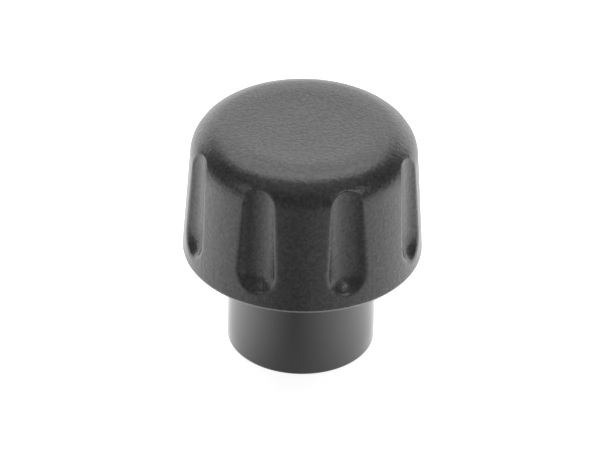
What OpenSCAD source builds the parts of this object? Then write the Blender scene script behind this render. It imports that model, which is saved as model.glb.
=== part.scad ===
// Fluted grip knob: a moulded head on a plain hub, with a threaded metal bush moulded into the hub.
// The knob stands on the end of its hub, with its axis on Z. All sizes are in millimetres.

/* [Head] */
// Largest diameter of the head, at its lower edge
head_d = 25; // [22:0.5:40]
// Height of the head, from its underside to its top face
head_h = 14.8; // [11:0.1:24]
// Draft of the head's side: how far it leans in towards the top, in degrees
head_draft = 3.9; // [0.5:0.1:6]
// Radius that rounds the side into the top face
shoulder_r = 3.3; // [1:0.1:5]
// Radius of the head's lower edge
head_edge_r = 0.5; // [0.2:0.05:0.8]
// Width of the flat ring between the shoulder and the shallow sink in the top face
top_ring_w = 1.4; // [0.5:0.1:3]
// Depth of the sink at its middle
dish_depth = 0.08; // [0.05:0.01:0.4]

/* [Flutes] */
// Number of finger flutes round the head
flute_count = 8; // [5:1:10]
// Radius of the ball-ended cutter that gives a flute its hollow section
flute_r = 3; // [1.8:0.1:3.4]
// Depth of a flute below the head's side, at the middle of its ball end
flute_depth = 1.05; // [0.5:0.05:1.6]
// Lean of a flute's floor towards the axis at the top, in degrees
flute_lean = 1.1; // [0:0.1:3]
// Height of the ball end's middle above the head's underside
flute_rise = 4.2; // [3:0.1:5]

/* [Hub] */
// Diameter of the hub
hub_d = 15.4; // [14:0.1:20]
// Length of the hub below the head
hub_h = 11; // [6:0.1:20]
// Radius of the edge round the hub's end
hub_edge_r = 0.35; // [0.2:0.05:1]
// Radius in the corner between the hub and the head's underside
hub_root_r = 0.5; // [0.2:0.05:1.5]

/* [Threaded bush] */
// Nominal diameter of the thread
thread_d = 6; // [4:1:6]
// Pitch of the thread
thread_pitch = 1; // [0.7:0.1:1]
// Depth of the blind threaded hole, without the drill's point
thread_depth = 12; // [8:0.5:15]
// Wall of the bush outside the thread
bush_wall = 1.5; // [1:0.1:2]
// Closed end of the bush, above the hole
bush_floor = 2.6; // [2.2:0.1:4]
// Width of the groove that keys the bush into the plastic
groove_w = 3; // [1:0.1:5]
// Depth of that groove
groove_depth = 0.7; // [0.2:0.05:0.9]
// Chamfer at the mouth of the hole, measured outside the thread
mouth_lead = 0.2; // [0.1:0.05:0.5]

/* [Hidden] */
$fn = 120;
moulded_black = "#2b2b2c";
turned_brass = "#b9975b";
drill_point_angle = 118;

head_r = head_d / 2;
hub_r = hub_d / 2;
total_h = hub_h + head_h;
side_normal = [cos(head_draft), sin(head_draft)];
top_r = head_radius(total_h);

flute_z = hub_h + flute_rise;
flute_axis_r = head_radius(flute_z) - flute_depth + flute_r;
flute_length = (total_h - flute_z) / cos(flute_lean) + flute_r;
ball_relief = 0.02;
ball_r = flute_r + ball_relief;

dish_r = inside_side(total_h - shoulder_r, shoulder_r)[0] - top_ring_w;
dish_sphere_r = (pow(dish_r, 2) + pow(dish_depth, 2)) / (2 * dish_depth);
dish_fn = 1800;

hole_r = (thread_d - thread_pitch) / 2;
mouth_r = thread_d / 2 + mouth_lead;
mouth_depth = mouth_r - hole_r;
drill_point_h = hole_r / tan(drill_point_angle / 2);
bush_r = thread_d / 2 + bush_wall;
bush_len = thread_depth + bush_floor;
groove_z = (bush_len - groove_w) / 2;

// Radius of the drafted side at height z
function head_radius(z) = head_r - (z - hub_h) * tan(head_draft);

// Centre of an edge round of radius r that lies against the drafted side at height z
function inside_side(z, r) = [head_radius(z) - r / side_normal[0], z];

// What an edge round takes off a corner: the wedge between directions a and b, outside the round
module edge_round(centre, r, a, b) {
    difference() {
        polygon([centre, centre + 2 * r * a, centre + 2 * r * (a + b), centre + 2 * r * b]);
        translate(centre) circle(r);
    }
}

// Half section of the head, with its lower edge rounded and its top face sunk
module head_section() {
    difference() {
        polygon([[0, hub_h], [head_r, hub_h], [top_r, total_h], [0, total_h]]);
        edge_round(inside_side(hub_h + head_edge_r, head_edge_r), head_edge_r, [0, -1], side_normal);
        translate([0, total_h - dish_depth + dish_sphere_r]) circle(dish_sphere_r, $fn = dish_fn);
    }
}

// Half section of the hub, which runs a little way into the head so that the two are one piece
module hub_section() {
    difference() {
        square([hub_r, hub_h + hub_root_r]);
        edge_round([hub_r - hub_edge_r, hub_edge_r], hub_edge_r, [0, -1], [1, 0]);
    }
    difference() {
        translate([0, hub_h - hub_root_r]) square([hub_r + hub_root_r, 2 * hub_root_r]);
        translate([hub_r + hub_root_r, hub_h - hub_root_r]) circle(hub_root_r);
    }
}

// Half section of the bush's outside, which is also the section of its seat in the plastic
module bush_outside() {
    difference() {
        square([bush_r, bush_len]);
        translate([bush_r - groove_depth, groove_z]) square([2 * groove_depth, groove_w]);
    }
}

// Half section of the blind hole: chamfered mouth, tapped wall and drill point
module hole_section() {
    polygon([
        [0, 0],
        [mouth_r, 0],
        [hole_r, mouth_depth],
        [hole_r, thread_depth],
        [0, thread_depth + drill_point_h]
    ]);
}

// One flute's cutter: a round bar with a ball end, standing on the ball's middle.
// The ball is a hair larger than the bar, so that the two meet in a clear line.
module flute_cutter() {
    rotate_extrude() intersection() {
        union() {
            circle(ball_r);
            square([flute_r, flute_length]);
        }
        translate([0, -2 * ball_r]) square([2 * ball_r, flute_length + 2 * ball_r]);
    }
}

// The ring that the shoulder's round takes off the head, from its side to its top face
module shoulder_round() {
    rotate_extrude()
        edge_round(inside_side(total_h - shoulder_r, shoulder_r), shoulder_r, [0, 1], side_normal);
}

// All flutes, set so that a land and not a flute faces along Y
module flutes() {
    for (i = [0 : flute_count - 1]) {
        rotate([0, 0, (i + 0.5) * 360 / flute_count])
            translate([flute_axis_r, 0, flute_z])
                rotate([0, -flute_lean, 0]) flute_cutter();
    }
}

// The moulding: head and hub in one piece, with the seat that the bush is moulded into
module knob_body() {
    color(moulded_black) difference() {
        rotate_extrude() difference() {
            union() {
                head_section();
                hub_section();
            }
            bush_outside();
        }
        flutes();
        shoulder_round();
    }
}

// The turned bush, flush with the hub's end
module threaded_bush() {
    color(turned_brass) rotate_extrude() difference() {
        bush_outside();
        hole_section();
    }
}

knob_body();
threaded_bush();
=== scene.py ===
# %% [markdown]
# # A fluted grip knob
# The real object is one black moulding, 25 mm across, with a brass bush moulded into its hub.
# This lesson dresses the knob's exact solids: it models the moulding and the bush again as fine meshes in the
# same place, gives them their finishes, and sets them on a pale table in soft light.
# Every length below is in metres, so a size from the drawing is written in millimetres times MM.

# %% Load the exact solids as a fixed frame
import math

import bmesh
import bpy
from mathutils import Matrix, Vector


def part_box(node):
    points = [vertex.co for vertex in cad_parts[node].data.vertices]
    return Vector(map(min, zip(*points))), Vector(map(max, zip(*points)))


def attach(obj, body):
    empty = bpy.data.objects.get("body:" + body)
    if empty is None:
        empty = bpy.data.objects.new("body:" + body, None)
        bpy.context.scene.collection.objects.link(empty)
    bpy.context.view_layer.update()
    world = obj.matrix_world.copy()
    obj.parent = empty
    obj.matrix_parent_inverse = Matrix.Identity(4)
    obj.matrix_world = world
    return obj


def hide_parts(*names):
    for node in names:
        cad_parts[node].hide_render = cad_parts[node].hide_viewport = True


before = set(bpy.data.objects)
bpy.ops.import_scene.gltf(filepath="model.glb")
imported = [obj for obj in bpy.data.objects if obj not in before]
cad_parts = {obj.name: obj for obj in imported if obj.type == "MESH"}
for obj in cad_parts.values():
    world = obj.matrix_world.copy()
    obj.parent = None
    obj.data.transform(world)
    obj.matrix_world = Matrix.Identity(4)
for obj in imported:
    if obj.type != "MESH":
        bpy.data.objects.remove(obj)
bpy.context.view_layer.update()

MM = 0.001
print("solids:", sorted(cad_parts))

# %% [markdown]
# ## The camera
# The photograph looks down on the knob at about 34 degrees from some 0.4 m away, through a long lens.
# Its horizon is tilted by about one degree, and the knob sits a little below the middle of the frame.
# The camera comes first, so that each later step can be checked against the photograph.

# %% Camera
PHOTO_WIDTH_PX = 600
PHOTO_HEIGHT_PX = 450
FOCAL_PX = 4045
AIM_PX = Vector((302.6, 230.3))
AIM_POINT = Vector((0, 0, 13.0 * MM))
CAMERA_DISTANCE = 420 * MM
CAMERA_ELEVATION = math.radians(33.7)
CAMERA_ROLL = math.radians(1.16)


def make_camera():
    data = bpy.data.cameras.new("camera")
    data.lens = FOCAL_PX / PHOTO_WIDTH_PX * data.sensor_width
    data.shift_x = (PHOTO_WIDTH_PX / 2 - AIM_PX.x) / PHOTO_WIDTH_PX
    data.shift_y = (AIM_PX.y - PHOTO_HEIGHT_PX / 2) / PHOTO_WIDTH_PX
    data.clip_start = 10 * MM
    data.clip_end = 10
    camera = bpy.data.objects.new("camera", data)
    bpy.context.scene.collection.objects.link(camera)
    back = Vector((0, -math.cos(CAMERA_ELEVATION), math.sin(CAMERA_ELEVATION)))
    turn = back.to_track_quat("Z", "Y").to_matrix().to_4x4()
    camera.matrix_world = (
        Matrix.Translation(AIM_POINT + CAMERA_DISTANCE * back) @ turn @ Matrix.Rotation(CAMERA_ROLL, 4, "Z")
    )
    return camera


bpy.context.scene.camera = make_camera()
print("camera at", [round(c, 4) for c in bpy.context.scene.camera.location])

# %% [markdown]
# ## Drawing a section
# The moulding and the bush are both round, so each starts as half a section in the XZ plane: a chain of edges
# from the axis round to the axis again. Straight runs are extruded from the chain's last vertex, and round
# stretches are that vertex spun about the arc's centre, which gives true circles with as many rows as asked.
# The section is then spun about Z. Its two ends lie on the axis, so the doubles there are merged into poles.

# %% Section tools
MERGE_DISTANCE = 0.001 * MM


def start_section(bm, r, z):
    return bm.verts.new((r, 0, z))


def straight_run(bm, tip, r, z, rows=1):
    """Extrudes the chain from tip to the point (r, z) in equal rows, and returns its new last vertex."""
    start = tip.co.copy()
    end = Vector((r, 0, z))
    for row in range(1, rows + 1):
        tip = bmesh.ops.extrude_vert_indiv(bm, verts=[tip])["verts"][0]
        tip.co = start.lerp(end, row / rows)
    return tip


def round_run(bm, tip, centre, degrees, rows):
    """Spins the chain's last vertex about an arc's centre; positive degrees turn from +X to +Z."""
    spun = bmesh.ops.spin(
        bm, geom=[tip], cent=centre, axis=(0, -1, 0), angle=math.radians(degrees), steps=rows
    )
    return next(part for part in spun["geom_last"] if isinstance(part, bmesh.types.BMVert))


def turn_section(bm, columns):
    """Spins the whole section about Z into a closed solid, with its poles merged and its faces outwards."""
    bmesh.ops.spin(
        bm,
        geom=bm.verts[:] + bm.edges[:],
        cent=(0, 0, 0),
        axis=(0, 0, 1),
        angle=math.tau,
        steps=columns,
        use_merge=True,
    )
    bmesh.ops.remove_doubles(bm, verts=bm.verts[:], dist=MERGE_DISTANCE)
    bmesh.ops.recalc_face_normals(bm, faces=bm.faces[:])


# %% [markdown]
# ## The moulding's sizes
# The overall sizes come from the solids. The others repeat the drawing: a head with a draft of about four
# degrees, a shoulder of 3.3 mm radius, a hub with small edge rounds, and a faint sink in the top face, left
# where the thick plastic shrank as it cooled.
# The top's shading in the photograph tells two things more. The ring round the sink isn't quite flat but
# crowned, leaning out a little more towards the shoulder, and the sink starts with a slight slope at its rim.

# %% Sizes
_, body_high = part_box("knob_body")
_, bush_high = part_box("threaded_bush")
TOTAL_H = body_high.z
HEAD_R = 12.5 * MM
HEAD_DRAFT = math.radians(3.9)
HUB_H = 11.0 * MM
HUB_R = 7.7 * MM
SHOULDER_R = 3.3 * MM
HEAD_EDGE_R = 0.5 * MM
HUB_EDGE_R = 0.35 * MM
HUB_ROOT_R = 0.5 * MM
SINK_R = 7.0 * MM
SINK_DEPTH = 0.08 * MM
SINK_RIM = math.radians(1.9)
CROWN_LEAN = math.radians(4.5)
BUSH_R = bush_high.x
BUSH_LEN = bush_high.z
GROOVE_W = 3.0 * MM
GROOVE_DEPTH = 0.7 * MM
GROOVE_LOW = (BUSH_LEN - GROOVE_W) / 2
GROOVE_HIGH = GROOVE_LOW + GROOVE_W


def head_radius(z):
    return HEAD_R - (z - HUB_H) * math.tan(HEAD_DRAFT)


def against_side(z, r):
    """Centre of an edge round of radius r that lies against the drafted side at height z."""
    return Vector((head_radius(z) - r / math.cos(HEAD_DRAFT), 0, z))


print("moulding %.1f mm high, bush %.1f mm across" % (TOTAL_H / MM, 2 * BUSH_R / MM))

# %% [markdown]
# ## The moulding's section
# The chain runs from the seat of the bush, down its wall and out along the hub's end, then up the outside to
# the middle of the top. Rows lie close together where the flutes will end, because the surface turns fast
# there, and far apart where it is plain.


# %% Seat and hub
def draw_seat(bm):
    tip = start_section(bm, 0, BUSH_LEN)
    tip = straight_run(bm, tip, BUSH_R, BUSH_LEN)
    tip = straight_run(bm, tip, BUSH_R, GROOVE_HIGH)
    tip = straight_run(bm, tip, BUSH_R - GROOVE_DEPTH, GROOVE_HIGH)
    tip = straight_run(bm, tip, BUSH_R - GROOVE_DEPTH, GROOVE_LOW)
    tip = straight_run(bm, tip, BUSH_R, GROOVE_LOW)
    return straight_run(bm, tip, BUSH_R, 0)


def draw_hub(bm, tip):
    tip = straight_run(bm, tip, HUB_R - HUB_EDGE_R, 0, rows=3)
    tip = round_run(bm, tip, (HUB_R - HUB_EDGE_R, 0, HUB_EDGE_R), 90, rows=5)
    tip = straight_run(bm, tip, HUB_R, HUB_H - HUB_ROOT_R, rows=5)
    return round_run(bm, tip, (HUB_R + HUB_ROOT_R, 0, HUB_H - HUB_ROOT_R), -90, rows=4)


moulding = bmesh.new()
hub_top = draw_hub(moulding, draw_seat(moulding))
print("seat and hub drawn in", len(moulding.edges), "rows")

# %% [markdown]
# ## The head's section
# The mould's draft leans the head's side in, so that the part comes out. Above the small lower edge the side
# has close rows for the flutes' ball ends, and the shoulder's arc has them as far up as the flutes run out.
# Then come the crowned ring and the sink. Each arc starts in the direction in which the last one ends, because
# a kink of one degree would show as a line in the gloss.

# %% Head
BALL_ZONE = (12.2 * MM, 15.8 * MM)
ARCH_DEGREES = 45


def shoulder_and_crown():
    """Centres of the shoulder's arc and of the crown's arc, which meet where both lean by CROWN_LEAN."""
    level = against_side(TOTAL_H - SHOULDER_R, SHOULDER_R)
    crown_r = SHOULDER_R + (level.x - SINK_R) / math.sin(CROWN_LEAN)
    fall = (crown_r - SHOULDER_R) * (1 - math.cos(CROWN_LEAN))
    return against_side(level.z - fall, SHOULDER_R), Vector((SINK_R, 0, TOTAL_H - crown_r))


def draw_side(bm, tip, top):
    """The head's underside, lower edge and drafted side, up to the height where the shoulder starts."""
    edge = against_side(HUB_H + HEAD_EDGE_R, HEAD_EDGE_R)
    tip = straight_run(bm, tip, edge.x, HUB_H, rows=4)
    tip = round_run(bm, tip, edge, 90 + math.degrees(HEAD_DRAFT), rows=6)
    tip = straight_run(bm, tip, head_radius(BALL_ZONE[0]), BALL_ZONE[0], rows=2)
    tip = straight_run(bm, tip, head_radius(BALL_ZONE[1]), BALL_ZONE[1], rows=40)
    return straight_run(bm, tip, head_radius(top), top, rows=16)


def draw_head(bm, tip):
    shoulder, crown = shoulder_and_crown()
    rim_r = SINK_DEPTH / (1 - math.cos(SINK_RIM))
    rim = Vector((SINK_R - rim_r * math.sin(SINK_RIM), 0, TOTAL_H - SINK_DEPTH + rim_r))
    lean = math.degrees(CROWN_LEAN)
    tip = draw_side(bm, tip, shoulder.z + SHOULDER_R * math.sin(HEAD_DRAFT))
    tip = round_run(bm, tip, shoulder, ARCH_DEGREES - math.degrees(HEAD_DRAFT), rows=30)
    tip = round_run(bm, tip, shoulder, 90 - ARCH_DEGREES - lean, rows=14)
    tip = round_run(bm, tip, crown, lean, rows=4)
    tip = round_run(bm, tip, rim, -math.degrees(SINK_RIM), rows=7)
    return straight_run(bm, tip, 0, TOTAL_H - SINK_DEPTH, rows=2)


draw_head(moulding, hub_top)
print("whole section has", len(moulding.edges), "rows")

# %% [markdown]
# ## The flutes
# On the real knob each flute is the print of a round-nosed rib in the mould. It leans in a little towards the
# top, ends in a ball above the head's lower edge and runs out through the shoulder in an arch.
# A boolean cut would leave razor edges, and a bevel along such curved edges is fragile. So the spun grid is
# fine enough to hold the flutes, and every vertex inside a rib is pushed out to the rib's surface. The push
# starts softly, a little before the surface is reached, which rounds the lips as the real mould does: more at
# the ball than at the arch. The grid's columns are first crowded towards the lips, where they are needed most.

# %% Flutes
COLUMNS = 640
CROWDING = 0.5
FLUTE_COUNT = 8
FLUTE_R = 3.0 * MM
FLUTE_DEPTH = 1.05 * MM
FLUTE_LEAN = math.radians(1.1)
FLUTE_Z = HUB_H + 4.2 * MM
ARCH_Z = TOTAL_H - SHOULDER_R
BALL_LIP = 0.36 * MM
ARCH_LIP = 0.12 * MM
FLUTE_PITCH = math.tau / FLUTE_COUNT
BALL_CENTRE = Vector((head_radius(FLUTE_Z) - FLUTE_DEPTH + FLUTE_R, 0, FLUTE_Z))
RIB_AXIS = Vector((-math.sin(FLUTE_LEAN), 0, math.cos(FLUTE_LEAN)))


def flute_push(point):
    """The move that takes a point near the rib to the flute's surface, for the flute that lies along +X."""
    along = max(0, (point - BALL_CENTRE).dot(RIB_AXIS))
    away = point - (BALL_CENTRE + along * RIB_AXIS)
    inside = FLUTE_R - away.length
    climb = min(1, max(0, (point.z - FLUTE_Z) / (ARCH_Z - FLUTE_Z)))
    lip = BALL_LIP + (ARCH_LIP - BALL_LIP) * climb**2
    if inside <= -lip:
        return None
    if inside < lip:
        inside = (inside + lip) ** 2 / (4 * lip)
    return inside * away.normalized()


def crowd_columns(bm):
    """Turns each column a little towards the nearest lip. Lips lie about half a pitch apart all round."""
    reach = CROWDING * FLUTE_PITCH / 2 / math.tau
    for vert in bm.verts:
        angle = math.atan2(vert.co.y, vert.co.x)
        turn = -reach * math.sin(math.tau * (2 * angle / FLUTE_PITCH - 0.5))
        vert.co = Matrix.Rotation(turn, 3, "Z") @ vert.co


def press_flutes(bm):
    """Pushes out every vertex that lies inside the nearest rib, and returns how many moved."""
    moved = 0
    for vert in bm.verts:
        angle = math.atan2(vert.co.y, vert.co.x)
        nearest = (math.floor(angle / FLUTE_PITCH) + 0.5) * FLUTE_PITCH
        to_flute = Matrix.Rotation(-nearest, 3, "Z")
        push = flute_push(to_flute @ vert.co)
        if push:
            vert.co += to_flute.transposed() @ push
            moved += 1
    return moved


turn_section(moulding, COLUMNS)
crowd_columns(moulding)
print("flutes moved", press_flutes(moulding), "of", len(moulding.verts), "vertices")

# %% [markdown]
# ## From grid to piece
# A finished grid becomes a mesh object at the origin, shaded smooth, with only its true corners kept sharp.
# It then takes the place of the CAD solid that it dresses, and rides on the knob's one body.


# %% Finish the moulding
def make_piece(bm, name, node, sharp_degrees):
    """Turns a bmesh into a smooth-shaded piece that stands for a CAD node and rides on the body."""
    mesh = bpy.data.meshes.new(name)
    for face in bm.faces:
        face.smooth = True
    bm.to_mesh(mesh)
    bm.free()
    mesh.set_sharp_from_angle(angle=math.radians(sharp_degrees))
    piece = bpy.data.objects.new(name, mesh)
    bpy.context.scene.collection.objects.link(piece)
    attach(piece, "root")
    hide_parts(node)
    print(name, "has", len(mesh.polygons), "faces")
    return piece


knob = make_piece(moulding, "moulded_knob", "knob_body", sharp_degrees=50)

# %% [markdown]
# ## The brass bush
# The bush is turned from bar: a flat end flush with the hub, a chamfered mouth and a tapped M6 hole that ends
# in a drill point. Its section is drawn and spun like the moulding's, with many rows along the hole's wall and
# mouth, because the thread will need them.

# %% Bush section
THREAD_D = 6.0 * MM
THREAD_PITCH = 1.0 * MM
THREAD_DEPTH = 12.0 * MM
MOUTH_LEAD = 0.2 * MM
DRILL_POINT_DEGREES = 118
HOLE_R = (THREAD_D - THREAD_PITCH) / 2
MOUTH_R = THREAD_D / 2 + MOUTH_LEAD
MOUTH_DEPTH = MOUTH_R - HOLE_R
DRILL_POINT_H = HOLE_R / math.tan(math.radians(DRILL_POINT_DEGREES / 2))
ROWS_PER_TURN = 16
BUSH_COLUMNS = 96


def draw_bush(bm):
    wall_rows = round((THREAD_DEPTH - MOUTH_DEPTH) / THREAD_PITCH * ROWS_PER_TURN)
    tip = start_section(bm, 0, THREAD_DEPTH + DRILL_POINT_H)
    tip = straight_run(bm, tip, HOLE_R, THREAD_DEPTH)
    tip = straight_run(bm, tip, HOLE_R, MOUTH_DEPTH, rows=wall_rows)
    tip = straight_run(bm, tip, MOUTH_R, 0, rows=ROWS_PER_TURN)
    tip = straight_run(bm, tip, BUSH_R, 0, rows=2)
    tip = straight_run(bm, tip, BUSH_R, GROOVE_LOW)
    tip = straight_run(bm, tip, BUSH_R - GROOVE_DEPTH, GROOVE_LOW)
    tip = straight_run(bm, tip, BUSH_R - GROOVE_DEPTH, GROOVE_HIGH)
    tip = straight_run(bm, tip, BUSH_R, GROOVE_HIGH)
    tip = straight_run(bm, tip, BUSH_R, BUSH_LEN)
    return straight_run(bm, tip, 0, BUSH_LEN)


turned_bush = bmesh.new()
draw_bush(turned_bush)
turn_section(turned_bush, BUSH_COLUMNS)
print("bush turned with", len(turned_bush.faces), "faces")

# %% [markdown]
# ## The thread
# A tap cuts a helical groove into the hole's wall. A swept groove would need a boolean, so the thread is
# pressed into the rows that are there: each vertex moves out by the height of a 60 degree thread at its own
# phase, which turns once round the hole for each pitch of depth. It fades out where the tap stopped.

# %% Tap the thread
THREAD_H = 0.54 * THREAD_PITCH
CREST_SHARE = 0.25
ROOT_SHARE = 0.125
RUN_OUT = 1.5 * THREAD_PITCH
MOUTH_EDGE = 0.01 * MM


def thread_height(turns):
    """Height of the thread's groove at a phase in turns: flat crest, rising flank, flat root, falling flank."""
    flank = (1 - CREST_SHARE - ROOT_SHARE) / 2
    from_root = abs(turns % 1 - 0.5) - ROOT_SHARE / 2
    return THREAD_H * min(1, max(0, 1 - from_root / flank))


def tap_thread(bm):
    """Moves the vertices of the hole's wall and mouth out to the thread, and returns how many it met."""
    tapped = 0
    for vert in bm.verts:
        radius = math.hypot(vert.co.x, vert.co.y)
        in_hole = radius < MOUTH_R - MOUTH_EDGE and 0 < vert.co.z < THREAD_DEPTH
        if not in_hole:
            continue
        turns = vert.co.z / THREAD_PITCH - math.atan2(vert.co.y, vert.co.x) / math.tau
        fade = min(1, (THREAD_DEPTH - vert.co.z) / RUN_OUT)
        cut = max(radius, HOLE_R + fade * thread_height(turns))
        vert.co.x *= cut / radius
        vert.co.y *= cut / radius
        tapped += 1
    return tapped


print("thread runs over", tap_thread(turned_bush), "vertices")
bush = make_piece(turned_bush, "tapped_bush", "threaded_bush", sharp_degrees=40)

# %% [markdown]
# ## Colours and nodes
# Colours are written as the hex values that a picture editor shows, and turned to linear light here, once.
# One small function adds a shader node with its settings and links, which keeps each material short.


# %% Colour and node helpers
def linear(hex_colour):
    """An sRGB hex colour as linear RGBA."""
    channels = [int(hex_colour[i : i + 2], 16) / 255 for i in (1, 3, 5)]
    return [c / 12.92 if c <= 0.04045 else ((c + 0.055) / 1.055) ** 2.4 for c in channels] + [1.0]


def add_node(tree, kind, inputs=None, **settings):
    """Adds a node: settings are its properties, and inputs give each socket a value or a link."""
    node = tree.nodes.new(kind)
    for name, value in settings.items():
        setattr(node, name, value)
    for socket, value in (inputs or {}).items():
        if isinstance(value, bpy.types.NodeSocket):
            tree.links.new(value, node.inputs[socket])
        else:
            node.inputs[socket].default_value = value
    return node


def new_material(name):
    material = bpy.data.materials.new(name)
    material.use_nodes = True
    material.node_tree.nodes.clear()
    return material, material.node_tree


print("mid grey #808080 is %.3f in linear light" % linear("#808080")[0])

# %% [markdown]
# ## Moulded black plastic
# The moulding is a black thermoplastic. The head's mould was spark-eroded, which prints a fine grain of about
# a third of a millimetre; the hub's part was polished, so the hub is smoother and glossier. Along the head's
# lower edge a thin pale line is a painted highlight, where the edge catches light.
# All three are one material: the height above the table tells which part of the mould a point came from.
# The grain could be modelled, but it is far too fine for a mesh, so one noise drives its relief, a painted
# shade in its pits and the little light that they lose.

# %% Grain of the mould
GRAIN_MM = 0.38
GRAIN_SPAN = (0.3, 0.7)
MOULD_EDGE = 0.1 * MM


def mould_grain(tree):
    """Nodes that say how high a point is, how far it lies in the grained part, and its grain."""
    place = add_node(tree, "ShaderNodeTexCoord").outputs["Object"]
    height = add_node(tree, "ShaderNodeSeparateXYZ", {0: place}).outputs["Z"]
    grained = add_node(
        tree,
        "ShaderNodeMapRange",
        {"Value": height, "From Min": HUB_H - MOULD_EDGE, "From Max": HUB_H + MOULD_EDGE},
        interpolation_type="SMOOTHSTEP",
    ).outputs["Result"]
    grain = add_node(
        tree,
        "ShaderNodeTexNoise",
        {"Vector": place, "Scale": 1 / (GRAIN_MM * MM), "Detail": 2.0, "Roughness": 0.65},
    ).outputs["Fac"]
    return height, grained, grain


print("grain of %.2f mm" % GRAIN_MM)

# %% [markdown]
# ## Relief, gloss and colour of the plastic
# The relief is a bump, full on the head and faint on the hub. Plastics have an index of refraction of about
# 1.5; a little more matches the sheen in the photograph. The black is nearly neutral, a touch warm.

# %% Plastic
GRAIN_HEIGHT = 0.04 * MM
HUB_RELIEF = 0.12
HUB_ROUGHNESS = 0.18
HEAD_ROUGHNESS = 0.3
PLASTIC_IOR = 1.7
HUB_SHEEN = 0.74
PIT_SHEEN = 0.425
PEAK_SHEEN = 0.575
HUB_SHADE = 0.5
# Painted shade: the grain's pits are painted darker, its peaks lighter.
PIT_SHADE_BLACK = "#020202"
PEAK_LIT_BLACK = "#2a2527"
# Painted highlight: a pale grey line along the head's lower edge, where the edge catches light.
EDGE_HIGHLIGHT_Z = HUB_H + 0.23 * MM
EDGE_HIGHLIGHT_WIDTH = 0.36 * MM
EDGE_HIGHLIGHT_GREY = "#8e8e8e"


def plastic_relief(tree, grained, grain):
    """The bump of the grain, full on the head and faint on the hub."""
    share = add_node(
        tree, "ShaderNodeMapRange", {"Value": grained, "To Min": HUB_RELIEF, "To Max": 1.0}
    ).outputs["Result"]
    relief = add_node(tree, "ShaderNodeMath", {0: grain, 1: share}, operation="MULTIPLY").outputs["Value"]
    return add_node(
        tree, "ShaderNodeBump", {"Height": relief, "Strength": 1.0, "Distance": GRAIN_HEIGHT}
    ).outputs["Normal"]


def plastic_colour(tree, height, grained, pit_shade_and_sheen):
    """Black with painted shade in the grain's pits, and a painted highlight line along the head's lower edge.
    """
    shade = add_node(
        tree, "ShaderNodeMapRange", {"Value": grained, "To Min": HUB_SHADE, "To Max": pit_shade_and_sheen}
    ).outputs["Result"]
    # Painted shade in the grain's pits: the black is darker where the grain is low.
    black = add_node(
        tree,
        "ShaderNodeMix",
        {"Factor": shade, "A": linear(PIT_SHADE_BLACK), "B": linear(PEAK_LIT_BLACK)},
        data_type="RGBA",
    ).outputs["Result"]
    # Painted highlight line along the head's lower edge, as a band of pale grey.
    edge_highlight = add_node(
        tree, "ShaderNodeMath", {0: height, 1: EDGE_HIGHLIGHT_Z, 2: EDGE_HIGHLIGHT_WIDTH / 2}, operation="COMPARE"
    ).outputs["Value"]
    return add_node(
        tree, "ShaderNodeMix", {"Factor": edge_highlight, "A": black, "B": linear(EDGE_HIGHLIGHT_GREY)}, data_type="RGBA"
    ).outputs["Result"]


def make_plastic():
    # Spark-eroded grain breaks the gloss into a soft, slightly sparkling sheen; the polished hub stays clear.
    material, tree = new_material("black thermoplastic, moulded")
    height, grained, grain = mould_grain(tree)
    pit_shade_and_sheen = add_node(
        tree, "ShaderNodeMapRange", {"Value": grain, "From Min": GRAIN_SPAN[0], "From Max": GRAIN_SPAN[1]}
    ).outputs["Result"]
    head_sheen = add_node(
        tree, "ShaderNodeMapRange", {"Value": pit_shade_and_sheen, "To Min": PIT_SHEEN, "To Max": PEAK_SHEEN}
    ).outputs["Result"]
    sheen = add_node(
        tree, "ShaderNodeMapRange", {"Value": grained, "To Min": HUB_SHEEN, "To Max": head_sheen}
    ).outputs["Result"]
    roughness = add_node(
        tree, "ShaderNodeMapRange", {"Value": grained, "To Min": HUB_ROUGHNESS, "To Max": HEAD_ROUGHNESS}
    ).outputs["Result"]
    shader = add_node(
        tree,
        "ShaderNodeBsdfPrincipled",
        {
            "Base Color": plastic_colour(tree, height, grained, pit_shade_and_sheen),
            "Roughness": roughness,
            "IOR": PLASTIC_IOR,
            "Specular IOR Level": sheen,
            "Normal": plastic_relief(tree, grained, grain),
        },
    )
    add_node(tree, "ShaderNodeOutputMaterial", {"Surface": shader.outputs["BSDF"]})
    return material


knob.data.materials.append(make_plastic())
print("knob is", knob.data.materials[0].name)

# %% [markdown]
# ## Turned brass
# The bush is bare brass from the lathe, with fine rings left by the tool on its end. The rings are a wave
# pattern round Z. The tool's real feed is about half as wide, and is drawn coarser here so that it shows.

# %% Brass
TOOL_RING_MM = 0.12
TOOL_RING_HEIGHT = 0.002 * MM
# A wave texture of scale 1 repeats after this length.
WAVE_LENGTH = math.tau / 20


def make_brass():
    # The rings spread reflections outwards from the middle, so the end face looks brushed in circles.
    material, tree = new_material("brass, turned")
    place = add_node(tree, "ShaderNodeTexCoord").outputs["Object"]
    rings = add_node(
        tree,
        "ShaderNodeTexWave",
        {"Vector": place, "Scale": WAVE_LENGTH / (TOOL_RING_MM * MM), "Distortion": 0.4},
        wave_type="RINGS",
        rings_direction="Z",
    ).outputs["Fac"]
    bump = add_node(
        tree, "ShaderNodeBump", {"Height": rings, "Strength": 1.0, "Distance": TOOL_RING_HEIGHT}
    ).outputs["Normal"]
    shader = add_node(
        tree,
        "ShaderNodeBsdfPrincipled",
        {"Base Color": linear("#c8b07a"), "Metallic": 1.0, "Roughness": 0.3, "Normal": bump},
    )
    add_node(tree, "ShaderNodeOutputMaterial", {"Surface": shader.outputs["BSDF"]})
    return material


bush.data.materials.append(make_brass())
print("bush is", bush.data.materials[0].name)

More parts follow.
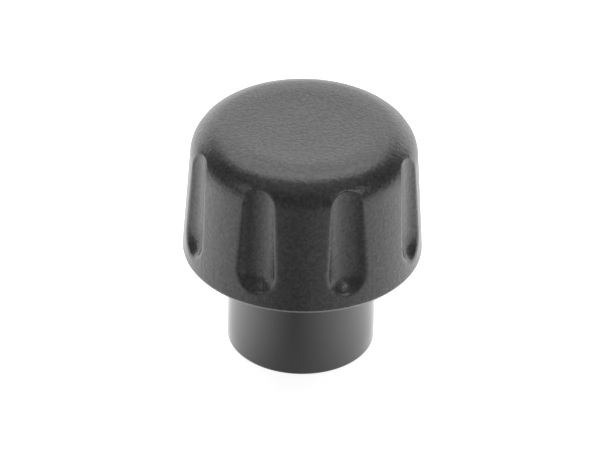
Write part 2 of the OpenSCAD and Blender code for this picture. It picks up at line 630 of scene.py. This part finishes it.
# %% [markdown]
# ## The table
# The ground is white, and what the glossy plastic shows of it draws every flute and edge. So the table's card
# carries painted light and shade: painted shade in front, where the camera stood, painted light brightest at
# the sides and a little darker again behind, and brighter again close to the hub's foot. This brightness
# changes with the angle round the knob, in the card's colour and in its glow. The camera sees the card as near
# white, reflections see it with that painted shading, and it keeps the knob's soft shadow.

# %% Brightness of the table
# The painted shade in front is turned a little to one side, by this slope.
DARK_SIDE = 0.13
# Angles from the front: where the table is brightest, and the radians at which it is already full.
BRIGHTEST = math.radians(113)
FULL_FROM = 1.65
# At the foot: the least brightness, and the brightness farther out at which the foot is full.
FOOT_LEAST = 0.3
FOOT_FULL = 0.85
FOOT_REACH = (8 * MM, 25 * MM)


def painted_table_light(tree):
    """Nodes that give the table's painted light and shade from 0 to 1 by angle and distance, darkest in front.
    """
    place = add_node(tree, "ShaderNodeTexCoord").outputs["Object"]
    split = add_node(tree, "ShaderNodeSeparateXYZ", {0: place}).outputs
    front = add_node(tree, "ShaderNodeMath", {0: split["Y"], 1: -1.0}, operation="MULTIPLY").outputs["Value"]
    across = add_node(
        tree, "ShaderNodeMath", {0: front, 1: DARK_SIDE, 2: split["X"]}, operation="MULTIPLY_ADD"
    ).outputs["Value"]
    aside = add_node(tree, "ShaderNodeMath", {0: across}, operation="ABSOLUTE").outputs["Value"]
    angle = add_node(tree, "ShaderNodeMath", {0: aside, 1: front}, operation="ARCTAN2").outputs["Value"]
    around = add_node(tree, "ShaderNodeMath", {0: angle, 1: BRIGHTEST}, operation="PINGPONG").outputs["Value"]
    far = add_node(tree, "ShaderNodeMapRange", {"Value": around, "From Max": FULL_FROM}).outputs["Result"]
    near = add_node(
        tree,
        "ShaderNodeMapRange",
        {"Value": far, "From Max": FOOT_FULL, "To Min": FOOT_LEAST},
        interpolation_type="SMOOTHSTEP",
    ).outputs["Result"]
    reach = add_node(tree, "ShaderNodeVectorMath", {0: place}, operation="LENGTH").outputs["Value"]
    return add_node(
        tree,
        "ShaderNodeMapRange",
        {"Value": reach, "From Min": FOOT_REACH[0], "From Max": FOOT_REACH[1], "To Min": near, "To Max": far},
    ).outputs["Result"]


print("table is brightest %d degrees from the front" % math.degrees(BRIGHTEST))

# %% [markdown]
# ## The card
# Only the camera and reflections see the card's glow, which carries its painted light and shade. Its colour,
# painted grey in front and white at the sides, does the rest, in the light of the lamps and the room. Seen from
# below, the card is clear, so that the end of the hub and its bush can be looked at. It lies a hair under the

# %% Card
TABLE_SIZE = 6
TABLE_GAP = 0.02 * MM
CARD_LIFT = 0.82
# Painted shade and light on the card: grey in front, white at the sides.
CARD_SHADE_GREY = "#aeaeae"
CARD_LIGHT_WHITE = "#fafafa"


def painted_card_glow(tree, brightness):
    """How strongly the card glows: by its painted light and shade in reflections, and up to white for the
    camera.
    """
    path = add_node(tree, "ShaderNodeLightPath").outputs
    mirror = add_node(
        tree, "ShaderNodeMath", {0: path["Is Glossy Ray"], 1: path["Is Transmission Ray"]}, operation="MAXIMUM"
    ).outputs["Value"]
    mirrored = add_node(
        tree, "ShaderNodeMath", {0: mirror, 1: brightness}, operation="MULTIPLY"
    ).outputs["Value"]
    seen = add_node(
        tree, "ShaderNodeMath", {0: path["Is Camera Ray"], 1: CARD_LIFT}, operation="MULTIPLY"
    ).outputs["Value"]
    return add_node(tree, "ShaderNodeMath", {0: mirrored, 1: seen}, operation="MAXIMUM").outputs["Value"]


def make_card():
    # Uncoated card has no gloss of its own, so it takes a soft shadow and no reflection.
    material, tree = new_material("white card")
    brightness = painted_table_light(tree)
    # The card's colour carries the painted shade in front and the painted light at the sides.
    colour = add_node(
        tree,
        "ShaderNodeMix",
        {"Factor": brightness, "A": linear(CARD_SHADE_GREY), "B": linear(CARD_LIGHT_WHITE)},
        data_type="RGBA",
    ).outputs["Result"]
    card = add_node(tree, "ShaderNodeBsdfDiffuse", {"Color": colour}).outputs["BSDF"]
    # The glow carries the painted light and shade into reflections, and lifts the card to white for the camera.
    glow = add_node(
        tree, "ShaderNodeEmission", {"Color": linear("#ffffff"), "Strength": painted_card_glow(tree, brightness)}
    ).outputs[0]
    lit = add_node(tree, "ShaderNodeAddShader", {0: card, 1: glow}).outputs[0]
    below = add_node(tree, "ShaderNodeNewGeometry").outputs["Backfacing"]
    clear = add_node(tree, "ShaderNodeBsdfTransparent").outputs[0]
    surface = add_node(tree, "ShaderNodeMixShader", {0: below, 1: lit, 2: clear}).outputs[0]
    add_node(tree, "ShaderNodeOutputMaterial", {"Surface": surface})
    return material


bpy.ops.mesh.primitive_plane_add(size=TABLE_SIZE, location=(0, 0, -TABLE_GAP))
table = bpy.context.object
table.name = "table"
table.data.materials.append(make_card())
print("table of", table.data.materials[0].name)

# %% [markdown]
# ## The room
# A plain grey room fills the shadows, with a ceiling that grows lighter overhead. The camera sees the room as
# white, like the table, so the horizon doesn't show.

# %% World
ROOM_LEVEL = 0.29
CEILING_LEVEL = 0.62
CEILING_EDGE = 0.6


def make_room():
    world = bpy.data.worlds.new("studio")
    world.use_nodes = True
    tree = world.node_tree
    tree.nodes.clear()
    path = add_node(tree, "ShaderNodeLightPath").outputs
    ray = add_node(tree, "ShaderNodeTexCoord").outputs["Generated"]
    rise = add_node(tree, "ShaderNodeSeparateXYZ", {0: ray}).outputs["Z"]
    ceiling = add_node(
        tree,
        "ShaderNodeMapRange",
        {"Value": rise, "From Min": CEILING_EDGE, "To Min": ROOM_LEVEL, "To Max": CEILING_LEVEL},
        interpolation_type="SMOOTHSTEP",
    ).outputs["Result"]
    strength = add_node(
        tree, "ShaderNodeMath", {0: ceiling, 1: path["Is Camera Ray"]}, operation="MAXIMUM"
    ).outputs["Value"]
    room = add_node(tree, "ShaderNodeBackground", {"Color": linear("#ffffff"), "Strength": strength})
    add_node(tree, "ShaderNodeOutputWorld", {"Surface": room.outputs[0]})
    return world


bpy.context.scene.world = make_room()
print("room of", ROOM_LEVEL, "under a ceiling of", CEILING_LEVEL)

# %% [markdown]
# ## The lamps
# Two large lights stand behind the knob, a low panel and a high soft box, with a dim gap between them. The top
# mirrors the panel's upper edge and the gap, so the slightest slope shows in its shading. The front of the
# shoulder mirrors the soft box up to its edge, and turns dark there.
# Two small soft boxes in front lift the sides of the head, the right one more than the left.


# %% Lamps
def soft_box(name, place, aim, width, height, watts, shape="RECTANGLE"):
    data = bpy.data.lights.new(name, "AREA")
    data.shape = shape
    data.size = width
    data.size_y = height
    data.energy = watts
    lamp = bpy.data.objects.new(name, data)
    bpy.context.scene.collection.objects.link(lamp)
    lamp.location = place
    lamp.rotation_euler = (Vector(place) - Vector(aim)).to_track_quat("Z", "Y").to_euler()
    print(name, "of", watts, "W")


LAMP_AIM = (0, 0, 0.01)
soft_box("back panel", (0, 0.6, 0.219), (0, 0, 0.219), 1.4, 0.438, watts=3.05)
soft_box("high back soft box", (0, 0.355, 0.68), LAMP_AIM, 0.9, 0.57, watts=2.1, shape="ELLIPSE")
soft_box("right front soft box", (0.40, -0.33, 0.30), LAMP_AIM, 0.15, 0.15, watts=0.26)
soft_box("left front soft box", (-0.46, -0.27, 0.28), LAMP_AIM, 0.15, 0.15, watts=0.13)

# %% [markdown]
# ## The picture
# The picture is shown as it is, with no added contrast.

# %% Finish
bpy.context.scene.view_settings.view_transform = "Standard"
